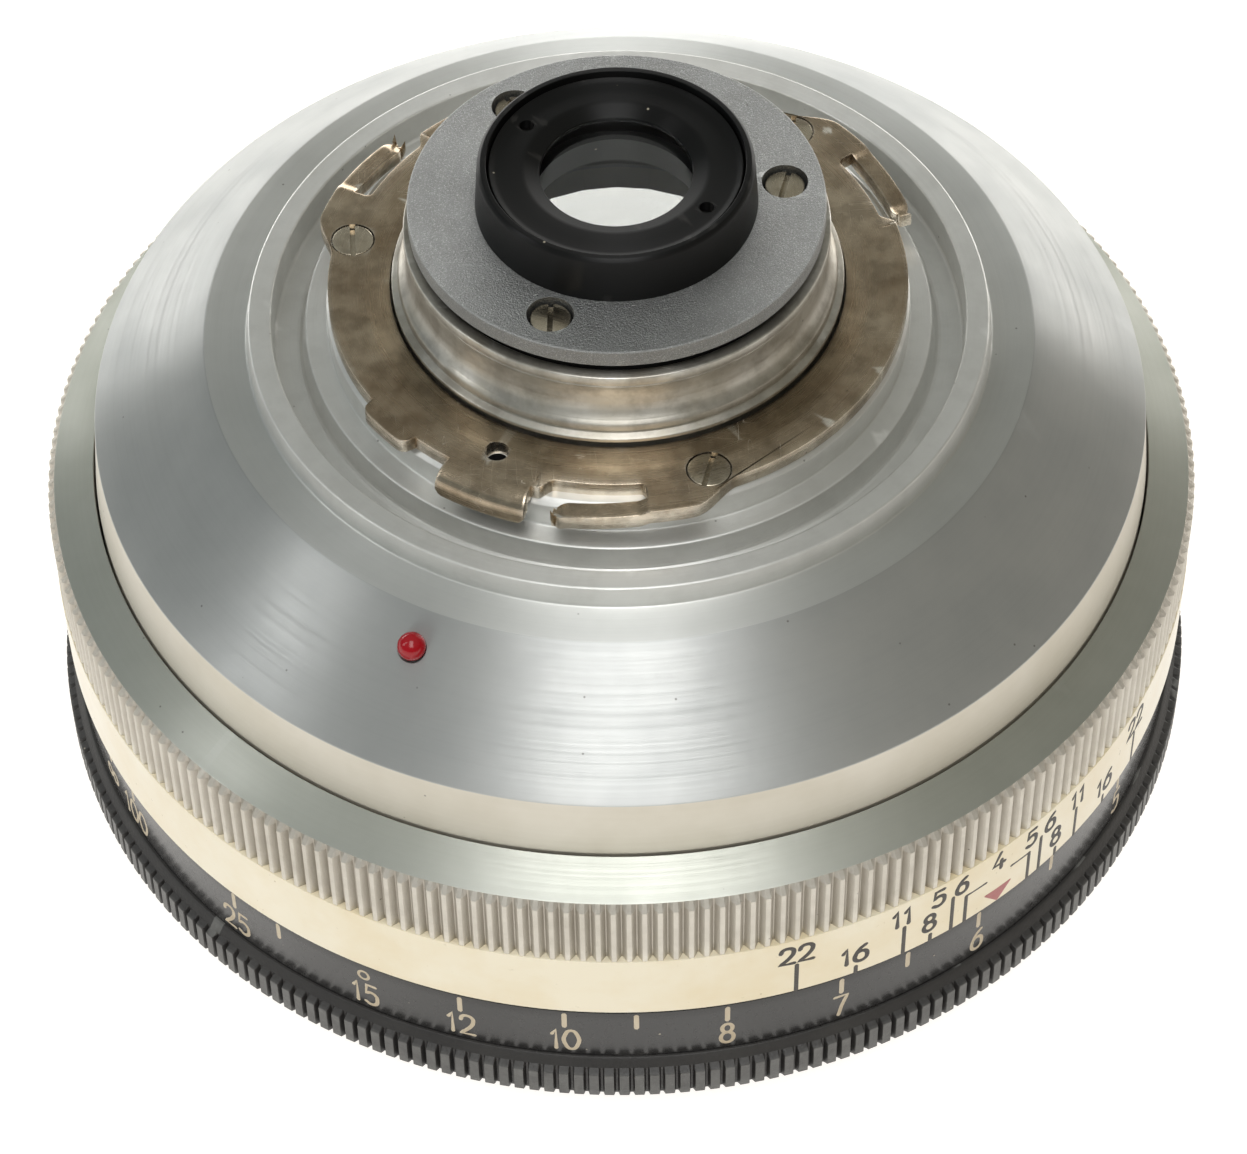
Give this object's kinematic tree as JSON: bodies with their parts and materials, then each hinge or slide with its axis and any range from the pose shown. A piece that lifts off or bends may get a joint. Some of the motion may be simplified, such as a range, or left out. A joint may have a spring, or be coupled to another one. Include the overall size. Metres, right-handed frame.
{
  "type": "telephoto prime camera lens",
  "caption": "Telephoto prime lens component with a stepped satin metal cone, a knurled grip, a turning distance ring and a bayonet rear mount.",
  "frame": {"origin": "on the optical axis in the plane of the front rim, which the lens stands on", "axes": "+Z along the optical axis towards the rear mount; -Y is the side that carries the distance scale near its middle; +X is 90 degrees counter-clockwise from -Y seen from the rear"},
  "size_m": [0.0692, 0.0692, 0.0425],
  "materials": {
    "satin_aluminium": "satin turned, lacquered cream on the depth-of-field band",
    "blasted_aluminium": "fine bead blasted",
    "tarnished_nickel": "worn, tarnished nickel plate",
    "neck_nickel": "satin nickel plate",
    "black_anodised": "black anodised, satin",
    "black_lacquer": "gloss black lacquer with filled engraving",
    "red_enamel": "gloss enamel",
    "steel": "bright turned",
    "brass": "plain turned",
    "optical_glass": "polished, coated"
  },
  "bodies": {
    "lens_body": {"filter_rim": "black_anodised", "front_barrel": "black_anodised", "drag_spring": "steel", "grip_ring": "satin_aluminium", "rear_housing": "satin_aluminium", "mount_mark": "red_enamel", "neck_tube": "neck_nickel", "neck_lock_ring": "brass", "bayonet_plate": "tarnished_nickel", "plate_screw_1": "steel", "plate_screw_2": "steel", "plate_screw_3": "steel", "disc_carrier": "black_anodised", "rear_disc": "blasted_aluminium", "disc_screw_1": "steel", "disc_screw_2": "steel", "disc_screw_3": "steel", "rear_cell": "black_anodised", "rear_lock_ring": "black_anodised", "rear_element": "optical_glass", "inner_barrel": "black_anodised", "third_element": "optical_glass", "third_element_ring": "black_anodised", "fourth_element": "optical_glass", "fourth_element_ring": "brass", "front_cell": "black_anodised", "front_element": "optical_glass", "second_element": "optical_glass", "front_retaining_ring": "black_anodised", "name_ring": "black_anodised"},
    "distance_ring": {"distance_dial": "black_lacquer", "distance_grip_ring": "black_anodised", "stop_pin": "steel"}
  },
  "joints": [
    {"name": "distance_turn", "type": "hinge", "parent": "lens_body", "child": "distance_ring", "pos_m": [0, 0, 0.005], "axis": [0, 0, 1], "range_deg": [-21, 103.5]}
  ]
}
